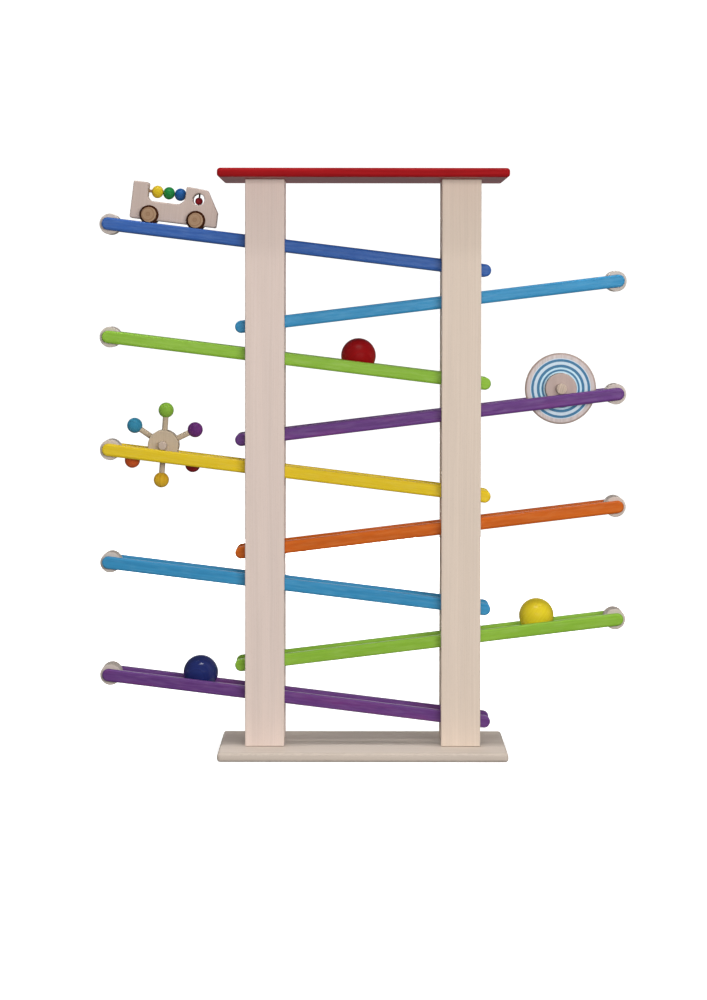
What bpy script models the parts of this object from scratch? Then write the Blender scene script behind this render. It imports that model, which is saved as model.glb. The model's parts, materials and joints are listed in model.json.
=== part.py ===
"""Wooden zigzag run: a board tower that carries nine sloping tracks, with balls, a disc, a spinner and a truck.

Each track is a pair of painted rails with an open slot between them. A ball runs down a slot, drops off the
rails' low end onto the next track and runs back under the end that it left. The disc and the spinner roll on
their axles, which rest on the rails, and the truck runs on flanged wheels.

World axes: +X to the right, +Y to the rear, +Z up. The origin is the middle of the underside of the base.
Every track has its own frame, an empty at its mid-width: +X down the slope, +Z square to the rails.
Lengths are in metres and angles in radians.
"""

import math

import bmesh
import bpy
from mathutils import Matrix, Vector

MM = 0.001
FIT = 0.3 * MM  # gap left between pieces that touch

# Tower
BOARD_WIDTH = 410 * MM
BOARD_DEPTH = 240 * MM
BOARD_THICKNESS = 13 * MM
BOARD_CORNER = 5 * MM
POST_WIDTH = 56 * MM
POST_THICKNESS = 20 * MM
POST_HEIGHT = 808 * MM
POST_X = 139.7 * MM
TENON_WIDTH = 40 * MM
TENON_THICKNESS = 12 * MM
TENON_LENGTH = 8 * MM
EDGE_RADIUS = 1.5 * MM

# Tracks
TRACK_COUNT = 9
TRACK_PITCH = 80.7 * MM
TOP_TRACK_Z = 713.2 * MM
SLOPE = math.radians(7.0)
SLOT_WIDTH = 47 * MM
RAIL_HEIGHT = 18 * MM
RAIL_THICKNESS = 9.2 * MM
RAIL_HIGH_END_X = 373.0 * MM
RAIL_LOW_END_X = 182.7 * MM
RAIL_RADIUS = 1.4 * MM
END_BLOCK_DIAMETER = 29 * MM
END_BLOCK_EDGE_X = 376.2 * MM
POST_INNER_Y = SLOT_WIDTH / 2 + RAIL_THICKNESS + FIT
POST_Y = POST_INNER_Y + POST_THICKNESS / 2
TOP_BOARD_Z = BOARD_THICKNESS + POST_HEIGHT + BOARD_THICKNESS / 2
AXLE_LENGTH = 64 * MM  # a roller's axle spans both rails and clears the posts
HUB_EDGE = 1.5 * MM

# Balls: colour name, track and place across the tower
BALL_DIAMETER = 50 * MM
BALLS = (("red", 3, -6.5 * MM), ("yellow", 8, 250 * MM), ("blue", 9, -233 * MM))

# Disc that rolls on track 4
DISC_TRACK = 4
DISC_X = 283.7 * MM
DISC_DIAMETER = 102 * MM
DISC_THICKNESS = 12 * MM
DISC_EDGE = 2 * MM
DISC_HUB_DIAMETER = 46 * MM
DISC_HUB_WIDTH = 40 * MM
DISC_AXLE_DIAMETER = 15 * MM

# Spinner that rolls on track 5
SPINNER_TRACK = 5
SPINNER_X = -286.2 * MM
SPINNER_HUB_DIAMETER = 44 * MM
SPINNER_HUB_WIDTH = 40 * MM
SPINNER_AXLE_DIAMETER = 12 * MM
SPINNER_TURN = math.radians(4.0)
SPOKE_DIAMETER = 7.8 * MM
SPOKE_ROOT = 15 * MM
SPINNER_BALL_DIAMETER = 20.5 * MM
SPINNER_REACH = 51 * MM
ARM_COLOURS = ("green", "purple", "dark_red", "yellow", "orange", "teal")

# Truck on track 1. Its own frame: u forward from the rear face, v up from the underside
TRUCK_TRACK = 1
TRUCK_REAR_X = -334 * MM
TRUCK_WIDTH = 40 * MM
TRUCK_LENGTH = 124 * MM
TRUCK_HEIGHT = 53 * MM
TRUCK_EDGE = 1.8 * MM
REAR_WALL = 21.8 * MM
BED_FLOOR = 27 * MM
BED_REAR_RADIUS = 9 * MM
BED_FRONT_RADIUS = 12 * MM
CAB_REAR = 76 * MM
CAB_FRONT = 106.5 * MM
CAB_FRONT_HEIGHT = 51.6 * MM
NOSE_HEIGHT = 21.5 * MM
WHEEL_TREAD_DIAMETER = 21.2 * MM
WHEEL_FLANGE_DIAMETER = 27.6 * MM
WHEEL_FLANGE_THICKNESS = 2.4 * MM
WHEEL_TREAD_WIDTH = 9.4 * MM
WHEEL_HEIGHT = 7 * MM
WHEEL_U = {"rear": 27.6 * MM, "front": 94.8 * MM}
WHEEL_AXLE_DIAMETER = 6 * MM
WHEEL_BORE_DEPTH = 8 * MM
BEAD_DIAMETER = 16.2 * MM
BEAD_COLOURS = ("yellow", "green", "blue")
BEAD_ROD_DIAMETER = 4.4 * MM
BEAD_ROD_HEIGHT = 41.4 * MM
BEAD_ROD_SOCKET = 8 * MM
WINDOW_DIAMETER = 16.8 * MM
WINDOW_U = 95 * MM
WINDOW_V = 37.3 * MM
DRIVER_DIAMETER = 10.3 * MM
DRIVER_V = 35.2 * MM
DRIVER_PIN_DIAMETER = 1.8 * MM
DRIVER_PIN_SOCKET = 4 * MM

# Paints and woods: colour as 0-255 sRGB, and roughness
FINISHES = {
    "beech": ((214, 190, 166), 0.6),
    "end_grain": ((186, 150, 108), 0.7),
    "dark_wood": ((58, 34, 18), 0.65),
    "red": ((150, 29, 32), 0.4),
    "royal_blue": ((60, 98, 162), 0.45),
    "light_blue": ((64, 138, 188), 0.45),
    "green": ((132, 178, 66), 0.45),
    "violet": ((104, 64, 128), 0.45),
    "yellow": ((214, 180, 40), 0.45),
    "orange": ((203, 95, 40), 0.45),
    "purple": ((88, 40, 110), 0.4),
    "dark_red": ((128, 20, 28), 0.4),
    "teal": ((60, 135, 170), 0.4),
    "blue": ((30, 56, 130), 0.4),
    "steel": ((70, 60, 52), 0.35),
}
TRACK_FINISHES = (
    "royal_blue", "light_blue", "green", "violet", "yellow", "orange", "light_blue", "green", "violet",
)


def clear_scene():
    for obj in list(bpy.data.objects):
        bpy.data.objects.remove(obj, do_unlink=True)


def new_collection(name):
    collection = bpy.data.collections.new(name)
    bpy.context.scene.collection.children.link(collection)
    return collection


def linear(channel):
    value = channel / 255
    return value / 12.92 if value <= 0.04045 else ((value + 0.055) / 1.055) ** 2.4


def make_finishes():
    materials = {}
    for name, (colour, roughness) in FINISHES.items():
        material = bpy.data.materials.new(name)
        material.use_nodes = True
        shader = material.node_tree.nodes["Principled BSDF"]
        shader.inputs["Base Color"].default_value = (*map(linear, colour), 1)
        shader.inputs["Roughness"].default_value = roughness
        shader.inputs["Metallic"].default_value = 1.0 if name == "steel" else 0.0
        materials[name] = material
    return materials


clear_scene()
PARTS = new_collection("zigzag_run")
CUTTERS = new_collection("cutters")
CUTTERS.hide_render = True
MATERIALS = make_finishes()


def add(name, mesh, finish, parent=None, place=(0, 0, 0), turn=(0, 0, 0)):
    """A part of the object. Its place and turn are in its parent's frame."""
    obj = bpy.data.objects.new(name, mesh)
    PARTS.objects.link(obj)
    obj.data.materials.clear()
    obj.data.materials.append(MATERIALS[finish])
    obj.parent = parent
    obj.location = place
    obj.rotation_euler = turn
    return obj


def add_frame(name, place, turn=(0, 0, 0), parent=None):
    frame = bpy.data.objects.new(name, None)
    PARTS.objects.link(frame)
    frame.parent = parent
    frame.location = place
    frame.rotation_euler = turn
    return frame


def use_tool(target, tool, operation="DIFFERENCE"):
    """Cuts the tool from the target, or joins it on, at the tool's place in the target's frame."""
    CUTTERS.objects.link(tool)
    tool.parent = target
    tool.hide_render = True
    tool.display_type = "WIRE"
    boolean = target.modifiers.new(tool.name, "BOOLEAN")
    boolean.operation = operation
    boolean.solver = "EXACT"
    boolean.object = tool


def round_edges(obj, radius, segments=2):
    bevel = obj.modifiers.new("rounded edges", "BEVEL")
    bevel.width = radius
    bevel.segments = segments
    bevel.limit_method = "ANGLE"
    bevel.angle_limit = math.radians(40)


def box_mesh(name, size):
    mesh = bpy.data.meshes.new(name)
    shape = bmesh.new()
    bmesh.ops.create_cube(shape, size=1.0, matrix=Matrix.Diagonal((*size, 1)))
    shape.to_mesh(mesh)
    shape.free()
    return mesh


def rod_mesh(name, diameter, length, segments=24):
    """A cylinder on local Z."""
    mesh = bpy.data.meshes.new(name)
    shape = bmesh.new()
    radius = diameter / 2
    bmesh.ops.create_cone(
        shape, cap_ends=True, segments=segments, radius1=radius, radius2=radius, depth=length
    )
    shape.to_mesh(mesh)
    shape.free()
    return mesh


def ball_mesh(name, diameter, segments=22):
    mesh = bpy.data.meshes.new(name)
    shape = bmesh.new()
    bmesh.ops.create_uvsphere(shape, u_segments=segments, v_segments=segments // 2, radius=diameter / 2)
    shape.to_mesh(mesh)
    shape.free()
    return mesh


def plate_mesh(name, outline, thickness):
    """A flat outline of (x, z) points, extruded along Y and centred on it."""
    curve = bpy.data.curves.new(name, "CURVE")
    curve.dimensions = "2D"
    curve.fill_mode = "BOTH"
    curve.extrude = thickness / 2
    spline = curve.splines.new("POLY")
    spline.points.add(len(outline) - 1)
    for point, (x, z) in zip(spline.points, outline):
        point.co = (x, z, 0, 1)
    spline.use_cyclic_u = True
    guide = bpy.data.objects.new(name, curve)
    PARTS.objects.link(guide)
    mesh = bpy.data.meshes.new_from_object(guide.evaluated_get(bpy.context.evaluated_depsgraph_get()))
    bpy.data.objects.remove(guide)
    shape = bmesh.new()
    shape.from_mesh(mesh)
    bmesh.ops.remove_doubles(shape, verts=shape.verts, dist=0.00001)
    bmesh.ops.rotate(shape, verts=shape.verts, matrix=Matrix.Rotation(math.pi / 2, 3, "X"))
    bmesh.ops.recalc_face_normals(shape, faces=shape.faces)
    shape.to_mesh(mesh)
    shape.free()
    return mesh


def turned_mesh(name, profile, steps=24, ring=False):
    """A profile of (radius, height) points, from top to bottom down the outside, turned about Z.

    A solid one starts and ends on the axis. A ring closes on itself.
    """
    mesh = bpy.data.meshes.new(name)
    edges = [(i, i + 1) for i in range(len(profile) - 1)]
    if ring:
        edges.append((len(profile) - 1, 0))
    mesh.from_pydata([(radius, 0, height) for radius, height in profile], edges, [])
    lathe = bpy.data.objects.new(name, mesh)
    PARTS.objects.link(lathe)
    screw = lathe.modifiers.new("turned", "SCREW")
    screw.steps = steps
    screw.render_steps = steps
    screw.use_merge_vertices = True
    screw.merge_threshold = 0.00001
    solid = bpy.data.meshes.new_from_object(lathe.evaluated_get(bpy.context.evaluated_depsgraph_get()))
    bpy.data.objects.remove(lathe)
    return solid


def corner(radius, centre, start, steps):
    """Points round a quarter circle, clockwise from the start angle. The centre is (radius, height)."""
    return [
        (centre[0] + radius * math.cos(a), centre[1] + radius * math.sin(a))
        for a in (start - math.pi / 2 * i / steps for i in range(steps + 1))
    ]


def tube_profile(outer, inner, width, edge, steps=1):
    """The section of a ring whose outer edges are broken by a chamfer, or rounded in more steps."""
    top = corner(edge, (outer / 2 - edge, width / 2 - edge), math.pi / 2, steps)
    bottom = corner(edge, (outer / 2 - edge, edge - width / 2), 0, steps)
    return [(inner / 2, width / 2), *top, *bottom, (inner / 2, -width / 2)]


def dowel_profile(diameter, length, edge=1 * MM):
    """The section of a solid round bar with chamfered ends."""
    return tube_profile(diameter, 0, length, edge)


ALONG_Y = (math.pi / 2, 0, 0)  # turns local Z to the front


def add_tool(name, mesh, target, place, turn=(0, 0, 0), operation="DIFFERENCE"):
    tool = bpy.data.objects.new(name, mesh)
    tool.location = place
    tool.rotation_euler = turn
    use_tool(target, tool, operation)


def post_places():
    for side_x, name_x in ((-1, "left"), (1, "right")):
        for side_y, name_y in ((-1, "front"), (1, "rear")):
            yield f"post_{name_y}_{name_x}", side_x * POST_X, side_y * POST_Y


def build_board(name, finish, z, mortise_side):
    """A board with a blind mortise for each post's tenon on its inner face."""
    board = add(name, box_mesh(name, (BOARD_WIDTH, BOARD_DEPTH, BOARD_THICKNESS)), finish, place=(0, 0, z))
    round_edges(board, BOARD_CORNER, 3)
    depth = TENON_LENGTH + FIT
    size = (TENON_WIDTH + 2 * FIT, TENON_THICKNESS + 2 * FIT, 2 * depth)
    for post, x, y in post_places():
        place = (x, y, mortise_side * BOARD_THICKNESS / 2)
        add_tool(f"{name}_mortise_{post}", box_mesh("mortise", size), board, place)
    return board


def build_posts():
    height = POST_HEIGHT - 2 * FIT
    middle = BOARD_THICKNESS + POST_HEIGHT / 2
    root = 5 * MM  # overlap that joins a tenon to its post
    for name, x, y in post_places():
        mesh = box_mesh(name, (POST_WIDTH, POST_THICKNESS, height))
        post = add(name, mesh, "beech", place=(x, y, middle))
        round_edges(post, EDGE_RADIUS)
        size = (TENON_WIDTH, TENON_THICKNESS, TENON_LENGTH + root)
        for end, end_name in ((-1, "lower"), (1, "upper")):
            place = (0, 0, end * (height / 2 + (TENON_LENGTH - root) / 2))
            add_tool(f"{name}_{end_name}_tenon", box_mesh("tenon", size), post, place, operation="UNION")


def track_frame(number):
    """Odd tracks run down to the right, even ones to the left."""
    turn = 0 if number % 2 else math.pi
    z = TOP_TRACK_Z - TRACK_PITCH * (number - 1)
    return add_frame(f"track_{number}_frame", (0, 0, z), (0, SLOPE, turn))


def distance_down(number, x, above):
    """How far down a track's frame a point lies, from its world x and its height off the rails' middle line."""
    downhill = x if number % 2 else -x
    return (downhill - above * math.sin(SLOPE)) / math.cos(SLOPE)


def rail_outline(length, steps=6):
    """A bar with half-round ends."""
    radius = RAIL_HEIGHT / 2
    reach = length / 2 - radius
    points = []
    for side, start in ((1, -math.pi / 2), (-1, math.pi / 2)):
        for i in range(steps + 1):
            angle = start + math.pi * i / steps
            points.append((side * reach + radius * math.cos(angle), radius * math.sin(angle)))
    return points


def build_track(number, frame):
    finish = TRACK_FINISHES[number - 1]
    round_end = RAIL_HEIGHT / 2
    high = -(RAIL_HIGH_END_X - round_end) / math.cos(SLOPE) - round_end
    low = (RAIL_LOW_END_X - round_end) / math.cos(SLOPE) + round_end
    offset = SLOT_WIDTH / 2 + RAIL_THICKNESS / 2
    front = -1 if number % 2 else 1  # the frame of an even track is turned about
    for name, side in (("front", front), ("rear", -front)):
        mesh = plate_mesh(f"rail_{number}_{name}", rail_outline(low - high), RAIL_THICKNESS)
        place = ((high + low) / 2, side * offset, 0)
        rail = add(f"rail_{number}_{name}", mesh, finish, frame, place)
        round_edges(rail, RAIL_RADIUS)
    block_x = END_BLOCK_EDGE_X - END_BLOCK_DIAMETER / 2
    profile = dowel_profile(END_BLOCK_DIAMETER, SLOT_WIDTH - 2 * FIT)
    place = (-block_x / math.cos(SLOPE), 0, 0)
    add(f"end_block_{number}", turned_mesh("end_block", profile), "beech", frame, place, ALONG_Y)


def ball_height():
    """Height of a ball's centre off the rails' middle line, where it rests on the rails' rounded inner edges."""
    reach = BALL_DIAMETER / 2 + RAIL_RADIUS + FIT
    across = SLOT_WIDTH / 2 + RAIL_RADIUS
    return RAIL_HEIGHT / 2 - RAIL_RADIUS + math.sqrt(reach**2 - across**2)


def build_balls(frames):
    above = ball_height()
    for colour, number, x in BALLS:
        place = (distance_down(number, x, above), 0, above)
        add(f"ball_{colour}", ball_mesh("ball", BALL_DIAMETER), colour, frames[number], place)


def roller_frame(name, frames, number, x, axle_diameter):
    """An empty on the axis of an axle that rests on the rails of a track."""
    above = RAIL_HEIGHT / 2 + axle_diameter / 2 + FIT
    return add_frame(name, (distance_down(number, x, above), 0, above), parent=frames[number])


def build_disc_roller(frames):
    axis = roller_frame("disc_axis", frames, DISC_TRACK, DISC_X, DISC_AXLE_DIAMETER)
    axle = dowel_profile(DISC_AXLE_DIAMETER, AXLE_LENGTH)
    add("disc_axle", turned_mesh("disc_axle", axle, 20), "beech", axis, turn=ALONG_Y)
    hub = tube_profile(DISC_HUB_DIAMETER, DISC_AXLE_DIAMETER + 2 * FIT, DISC_HUB_WIDTH, HUB_EDGE)
    add("disc_hub", turned_mesh("disc_hub", hub, 32, ring=True), "beech", axis, turn=ALONG_Y)
    rim = tube_profile(DISC_DIAMETER, DISC_HUB_DIAMETER + 2 * FIT, DISC_THICKNESS, DISC_EDGE, 2)
    add("disc_plate", turned_mesh("disc_plate", rim, 48, ring=True), "light_blue", axis, turn=ALONG_Y)


def arm_profile():
    """A spoke with its ball, on the arm's own axis, which starts at the middle of the hub."""
    spoke = SPOKE_DIAMETER / 2
    radius = SPINNER_BALL_DIAMETER / 2
    last = math.pi - math.asin(spoke / radius)
    steps = 7
    arc = []
    for i in range(steps + 1):
        angle = last * i / steps
        arc.append((radius * math.sin(angle), SPINNER_REACH + radius * math.cos(angle)))
    return [*arc, (spoke, SPOKE_ROOT), (0, SPOKE_ROOT)]


def build_spinner(frames):
    axis = roller_frame("spinner_axis", frames, SPINNER_TRACK, SPINNER_X, SPINNER_AXLE_DIAMETER)
    upright = (0, -SLOPE, 0)
    wheel = add_frame("spinner_wheel", (0, 0, 0), upright, axis)
    axle = dowel_profile(SPINNER_AXLE_DIAMETER, AXLE_LENGTH)
    add("spinner_axle", turned_mesh("spinner_axle", axle, 20), "beech", axis, turn=ALONG_Y)
    profile = tube_profile(SPINNER_HUB_DIAMETER, SPINNER_AXLE_DIAMETER + 2 * FIT, SPINNER_HUB_WIDTH, HUB_EDGE)
    hub = add("spinner_hub", turned_mesh("spinner_hub", profile, 36, ring=True), "beech", wheel, turn=ALONG_Y)
    socket_end = SPINNER_HUB_DIAMETER / 2 + 2 * MM
    socket_start = SPOKE_ROOT - FIT
    for i, colour in enumerate(ARM_COLOURS):
        angle = SPINNER_TURN + math.tau * i / len(ARM_COLOURS)
        mesh = turned_mesh("arm", arm_profile(), 14)
        add(f"spinner_arm_{colour}", mesh, colour, wheel, turn=(0, angle, 0))
        socket = rod_mesh("socket", SPOKE_DIAMETER + 2 * FIT, socket_end - socket_start, 12)
        radial = Vector((math.sin(angle), math.cos(angle), 0))
        place = radial * (socket_end + socket_start) / 2
        turn = radial.to_track_quat("Z", "Y").to_euler()
        add_tool(f"spinner_socket_{i + 1}", socket, hub, place, turn)


def truck_outline():
    points = [(0, 0), (TRUCK_LENGTH, 0), (TRUCK_LENGTH, NOSE_HEIGHT)]
    points += [(CAB_FRONT, CAB_FRONT_HEIGHT), (CAB_REAR, TRUCK_HEIGHT + 0.6 * MM)]
    front = (CAB_REAR - BED_FRONT_RADIUS, BED_FLOOR + BED_FRONT_RADIUS)
    rear = (REAR_WALL + BED_REAR_RADIUS, BED_FLOOR + BED_REAR_RADIUS)
    points += corner(BED_FRONT_RADIUS, front, 0, 5)
    points += corner(BED_REAR_RADIUS, rear, -math.pi / 2, 5)
    points += [(REAR_WALL, TRUCK_HEIGHT), (0, TRUCK_HEIGHT)]
    return points


def wheel_profile():
    """A wheel turned about its axle, from its outer face: the tread, the flange and a blind bore behind."""
    tread = WHEEL_TREAD_DIAMETER / 2
    flange = WHEEL_FLANGE_DIAMETER / 2
    bore = WHEEL_AXLE_DIAMETER / 2 + FIT
    back = -WHEEL_FLANGE_THICKNESS
    edge = 0.8 * MM
    return [
        (0, WHEEL_TREAD_WIDTH),
        *corner(edge, (tread - edge, WHEEL_TREAD_WIDTH - edge), math.pi / 2, 1),
        (tread, 0),
        (flange, 0),
        (flange, back),
        (bore, back),
        (bore, back + WHEEL_BORE_DEPTH),
        (0, back + WHEEL_BORE_DEPTH),
    ]


def build_truck(frames):
    above_rails = WHEEL_TREAD_DIAMETER / 2 + FIT - WHEEL_HEIGHT
    underside = RAIL_HEIGHT / 2 + above_rails
    start = distance_down(TRUCK_TRACK, TRUCK_REAR_X, underside)
    truck = add_frame("truck_frame", (start, 0, underside), parent=frames[TRUCK_TRACK])
    body = add("truck_body", plate_mesh("truck_body", truck_outline(), TRUCK_WIDTH), "beech", truck)
    round_edges(body, TRUCK_EDGE)

    window = rod_mesh("window", WINDOW_DIAMETER, 2 * TRUCK_WIDTH, 28)
    add_tool("truck_window", window, body, (WINDOW_U, 0, WINDOW_V), ALONG_Y)
    rod_length = CAB_REAR - REAR_WALL + 2 * BEAD_ROD_SOCKET
    rod_place = ((CAB_REAR + REAR_WALL) / 2, 0, BEAD_ROD_HEIGHT)
    along_u = (0, math.pi / 2, 0)
    socket = rod_mesh("rod_socket", BEAD_ROD_DIAMETER + 2 * FIT, rod_length + 2 * FIT, 16)
    add_tool("truck_rod_socket", socket, body, rod_place, along_u)
    pin_length = WINDOW_DIAMETER + 2 * DRIVER_PIN_SOCKET
    pin_hole = rod_mesh("pin_hole", DRIVER_PIN_DIAMETER + 2 * FIT, pin_length + 2 * FIT, 12)
    add_tool("truck_pin_hole", pin_hole, body, (WINDOW_U, 0, WINDOW_V))

    rod = rod_mesh("bead_rod", BEAD_ROD_DIAMETER, rod_length, 16)
    add("bead_rod", rod, "beech", truck, rod_place, along_u)
    for i, colour in enumerate(reversed(BEAD_COLOURS)):
        u = CAB_REAR - FIT - BEAD_DIAMETER / 2 - i * (BEAD_DIAMETER + FIT)
        mesh = bead_mesh(BEAD_DIAMETER, BEAD_ROD_DIAMETER + 2 * FIT)
        add(f"bead_{colour}", mesh, colour, truck, (u, 0, BEAD_ROD_HEIGHT), along_u)
    pin = rod_mesh("driver_pin", DRIVER_PIN_DIAMETER, pin_length, 12)
    add("driver_pin", pin, "steel", truck, (WINDOW_U, 0, WINDOW_V))
    driver = bead_mesh(DRIVER_DIAMETER, DRIVER_PIN_DIAMETER + 2 * FIT)
    add("driver_head", driver, "dark_red", truck, (WINDOW_U, 0, DRIVER_V))
    for axle_name, u in WHEEL_U.items():
        build_wheelset(axle_name, truck, body, u)


def bead_mesh(diameter, bore, steps=8):
    """A drilled ball: an arc from one mouth of its bore to the other, closed by the bore."""
    radius = diameter / 2
    first = math.asin(bore / 2 / radius)
    arc = []
    for i in range(steps + 1):
        angle = first + (math.pi - 2 * first) * i / steps
        arc.append((radius * math.sin(angle), radius * math.cos(angle)))
    return turned_mesh("bead", arc, 16, ring=True)


def build_wheelset(axle_name, truck, body, u):
    axis = add_frame(f"truck_{axle_name}_axis", (u, 0, WHEEL_HEIGHT), parent=truck)
    bore = rod_mesh("axle_bore", WHEEL_AXLE_DIAMETER + 4 * FIT, 2 * TRUCK_WIDTH, 20)
    add_tool(f"truck_{axle_name}_bore", bore, body, (u, 0, WHEEL_HEIGHT), ALONG_Y)
    tread_start = SLOT_WIDTH / 2 - 0.6 * MM
    length = 2 * (tread_start - WHEEL_FLANGE_THICKNESS + WHEEL_BORE_DEPTH - FIT)
    axle = rod_mesh("axle", WHEEL_AXLE_DIAMETER, length, 20)
    add(f"truck_{axle_name}_axle", axle, "beech", axis, turn=ALONG_Y)
    for side, name, turn in ((-1, "near", math.pi / 2), (1, "far", -math.pi / 2)):
        mesh = turned_mesh("wheel", wheel_profile(), 26)
        place = (0, side * tread_start, 0)
        add(f"truck_{axle_name}_wheel_{name}", mesh, "end_grain", axis, place, (turn, 0, 0))


def settle_shapes():
    """Turns every part's modifiers into plain mesh, shaded smooth with its edges kept."""
    bpy.context.view_layer.update()
    graph = bpy.context.evaluated_depsgraph_get()
    solids = [obj for obj in PARTS.objects if obj.type == "MESH"]
    shapes = [bpy.data.meshes.new_from_object(obj.evaluated_get(graph)) for obj in solids]
    for obj, shape in zip(solids, shapes):
        obj.modifiers.clear()
        obj.data = shape
        shape.shade_smooth()
        shape.set_sharp_from_angle(angle=math.radians(35))


def build():
    build_board("base_board", "beech", BOARD_THICKNESS / 2, 1)
    build_board("top_board", "red", TOP_BOARD_Z, -1)
    build_posts()
    frames = {number: track_frame(number) for number in range(1, TRACK_COUNT + 1)}
    for number, frame in frames.items():
        build_track(number, frame)
    build_balls(frames)
    build_disc_roller(frames)
    build_spinner(frames)
    build_truck(frames)
    settle_shapes()


build()
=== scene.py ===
"""Looks of the wooden zigzag run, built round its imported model.

Every piece is modelled again with finer rounding and turning, at the place of the CAD node that it
stands for. A piece is made in its own frame and put in place by a matrix. Its mesh carries three
attributes for its material: "grain", where each point lies in the log that the wood was cut from
(metres, X along the grain), "end_grain", how squarely a face cuts the grain, and "worn", which is 1
along the rounded edges. The disc and the wheels' treads carry a fourth, "turned", each point's place
about the piece's own axis.

Lengths are in metres and angles in radians. World: +X right, +Y to the rear, +Z up.
"""

import json
import math
import random

import bmesh
import bpy
from mathutils import Matrix, Vector


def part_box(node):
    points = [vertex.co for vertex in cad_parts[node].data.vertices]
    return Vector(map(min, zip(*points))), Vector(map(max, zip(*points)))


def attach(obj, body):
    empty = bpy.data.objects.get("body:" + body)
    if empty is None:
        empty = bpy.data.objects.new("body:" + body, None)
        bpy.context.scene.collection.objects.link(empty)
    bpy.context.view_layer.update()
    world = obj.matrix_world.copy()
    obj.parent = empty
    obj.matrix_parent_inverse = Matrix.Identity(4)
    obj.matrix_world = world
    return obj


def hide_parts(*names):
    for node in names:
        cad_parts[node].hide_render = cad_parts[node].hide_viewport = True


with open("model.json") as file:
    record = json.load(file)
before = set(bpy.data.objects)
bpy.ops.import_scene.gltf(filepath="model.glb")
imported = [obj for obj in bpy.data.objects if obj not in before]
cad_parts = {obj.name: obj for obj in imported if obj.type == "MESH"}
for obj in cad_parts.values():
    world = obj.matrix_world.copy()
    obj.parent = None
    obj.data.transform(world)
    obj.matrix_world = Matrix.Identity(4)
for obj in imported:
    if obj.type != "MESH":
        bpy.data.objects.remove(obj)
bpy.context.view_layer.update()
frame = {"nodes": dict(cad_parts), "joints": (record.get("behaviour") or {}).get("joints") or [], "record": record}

MM = 0.001
BODIES = frame["record"]["behaviour"]["bodies"]
BODY_OF = {node: body for body, nodes in BODIES.items() for node in nodes}
SLOT_OF = {row["node"]: row["material_slot"] for row in frame["record"]["subparts"]}
JOINTS = {joint["name"]: joint for joint in frame["joints"]}
DOWN_RIGHT = Vector(JOINTS["ball_red_run"]["axis"])  # the way down an odd track
DOWN_LEFT = Vector(JOINTS["ball_yellow_run"]["axis"])  # the way down an even track
SLOPE = math.asin(-DOWN_RIGHT.z)

WORLD_X, WORLD_Y, WORLD_Z = Vector((1, 0, 0)), Vector((0, 1, 0)), Vector((0, 0, 1))
TO_FRONT = -WORLD_Y

# Rounding of the edges
BOARD_ROUNDING = 4.6 * MM
POST_ROUNDING = 1.6 * MM
RAIL_ROUNDING = 3.2 * MM
DOWEL_ROUNDING = 1.3 * MM
HUB_ROUNDING = 1.6 * MM
DISC_ROUNDING = 3.2 * MM
TRUCK_ROUNDING = 1.9 * MM
WHEEL_ROUNDING = 0.45 * MM
RAIL_END_ROUNDNESS = 0.498  # of the rail's height, so that the two corners of an end don't quite meet

# A face is taken as part of a rounded edge if its area is no more than that of a strip this wide
# along the piece, or on the truck's body no more than this area in square metres
BOARD_EDGE_STRIP = 3 * MM
POST_EDGE_STRIP = 1 * MM
RAIL_EDGE_STRIP = 0.55 * MM
TRUCK_EDGE_AREA = 3e-6

POST_END_GAPS = 0.4 * MM  # both ends of a post together

# Turned pieces
BALL_RADIUS = 25 * MM
DISC_AXLE_RADIUS = 7.5 * MM
DISC_HUB_RADIUS = 22.4 * MM
DISC_RADIUS = 51 * MM
SPINNER_AXLE_RADIUS = 6 * MM
SPINNER_HUB_RADIUS = 22 * MM
SPINNER_BALL_RADIUS = 11 * MM
SPOKE_RADIUS = 4.1 * MM
SPOKE_ROOT = 20 * MM
BORE_GAP = 0.3 * MM
BORE_EASING = 0.5 * MM  # width of the eased edge at a drilled ball's mouths
END_BLOCK_RADIUS = 14.8 * MM

# Truck, in its own frame: u forward from the rear face and v up from the underside
TRUCK_WIDTH = 40 * MM
AXLE_U = 27.6 * MM
AXLE_V = 7 * MM
WINDOW_U, WINDOW_V, WINDOW_RADIUS = 95 * MM, 37.3 * MM, 8.4 * MM
BEAD_ROD_RADIUS = 2.2 * MM
BEAD_RADIUS = 9 * MM
BEAD_LENGTH = 17 * MM  # before its ends are cut back by the bore
DRIVER_RADIUS = 5.5 * MM
PIN_RADIUS = 1.3 * MM
TREAD_RADIUS = 10.6 * MM
FLANGE_RADIUS = 13.8 * MM
FLANGE_THICKNESS = 2.4 * MM
WHEEL_AXLE_RADIUS = 3 * MM
WHEEL_AXLE_GAP = 0.6 * MM  # round the axle in its bore through the body
BORE_ROUNDING = 0.1 * MM  # at the blind end of a bore


# ---- Shapes, each a bmesh in the piece's own frame ----


def fillet(points, closed=True, steps=6):
    """Rounds an outline of (x, y, radius) corners, and gives back its (x, y) points."""
    outline = []
    count = len(points)
    for i, (x, y, radius) in enumerate(points):
        corner = Vector((x, y))
        if radius == 0 or (not closed and i in (0, count - 1)):
            outline.append(corner)
            continue
        before = (Vector(points[i - 1][:2]) - corner).normalized()
        after = (Vector(points[(i + 1) % count][:2]) - corner).normalized()
        half = before.angle(after) / 2
        centre = corner + (before + after).normalized() * radius / math.sin(half)
        start = corner + before * radius / math.tan(half) - centre
        finish = corner + after * radius / math.tan(half) - centre
        outline += [centre + radius * start.slerp(finish, step / steps) for step in range(steps + 1)]
    return outline


def circle(centre, radius, steps=48):
    angles = (math.tau * i / steps for i in range(steps))
    return [(centre[0] + radius * math.cos(a), centre[1] + radius * math.sin(a)) for a in angles]


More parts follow.
